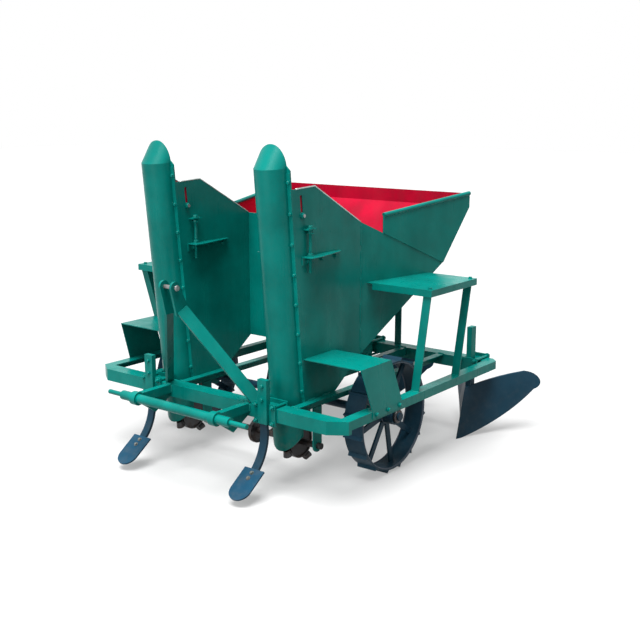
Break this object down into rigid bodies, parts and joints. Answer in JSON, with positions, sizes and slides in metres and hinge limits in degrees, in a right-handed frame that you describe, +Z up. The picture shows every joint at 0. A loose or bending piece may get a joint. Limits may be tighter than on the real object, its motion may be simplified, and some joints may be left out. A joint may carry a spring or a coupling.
{
  "type": "two-row potato planter",
  "caption": "Mounted potato planter: flared seed hopper, leaning cup-chain towers, front shovel tines, ridger bodies and lugged ground wheels on a welded frame.",
  "frame": {"origin": "on the ground under the middle of the whole machine", "axes": "+X towards the machine's left side along the axle, -Y towards the tractor, +Z up"},
  "size_m": [1.849, 1.83, 1.5456],
  "materials": {
    "paint": "gloss",
    "red_paint": "gloss",
    "navy_paint": "satin",
    "blue_steel": "satin",
    "dark_chain": "rough",
    "steel": "turned"
  },
  "bodies": {
    "chassis": {"axle_bearings": "paint", "chain_adjusters": "paint", "cup_chain_left": "dark_chain", "cup_chain_right": "dark_chain", "drive_chain": "dark_chain", "feed_box_left": "paint", "feed_box_right": "paint", "front_beam": "paint", "hitch_arms": "paint", "hitch_shaft": "paint", "hopper_end_left": "paint", "hopper_end_right": "paint", "hopper_front": "paint", "hopper_posts": "paint", "hopper_rear": "paint", "hopper_saddle": "red_paint", "inner_rails": "paint", "lower_shaft": "steel", "mast_heads": "paint", "mast_legs": "paint", "platform_left": "paint", "platform_legs": "paint", "platform_right": "paint", "rear_beam": "paint", "ridger_clamps": "paint", "ridger_left": "navy_paint", "ridger_middle": "navy_paint", "ridger_right": "navy_paint", "ridger_shanks": "navy_paint", "shaft_hangers": "paint", "shovels": "blue_steel", "side_rails": "paint", "tine_clamps": "paint", "tines": "navy_paint", "top_link_pin": "steel", "tower_casing_left": "paint", "tower_casing_right": "paint", "tower_plate_left": "paint", "tower_plate_right": "paint", "upper_shafts": "steel", "wheel_guard_left": "paint", "wheel_guard_right": "paint"},
    "ground_axle": {"wheel_axle": "steel", "ground_wheel_left": "navy_paint", "ground_wheel_right": "navy_paint"}
  },
  "joints": [
    {"name": "ground_axle_spin", "type": "hinge", "parent": "chassis", "child": "ground_axle", "pos_m": [0, -0.104, 0.277], "axis": [1, 0, 0], "continuous": true}
  ]
}
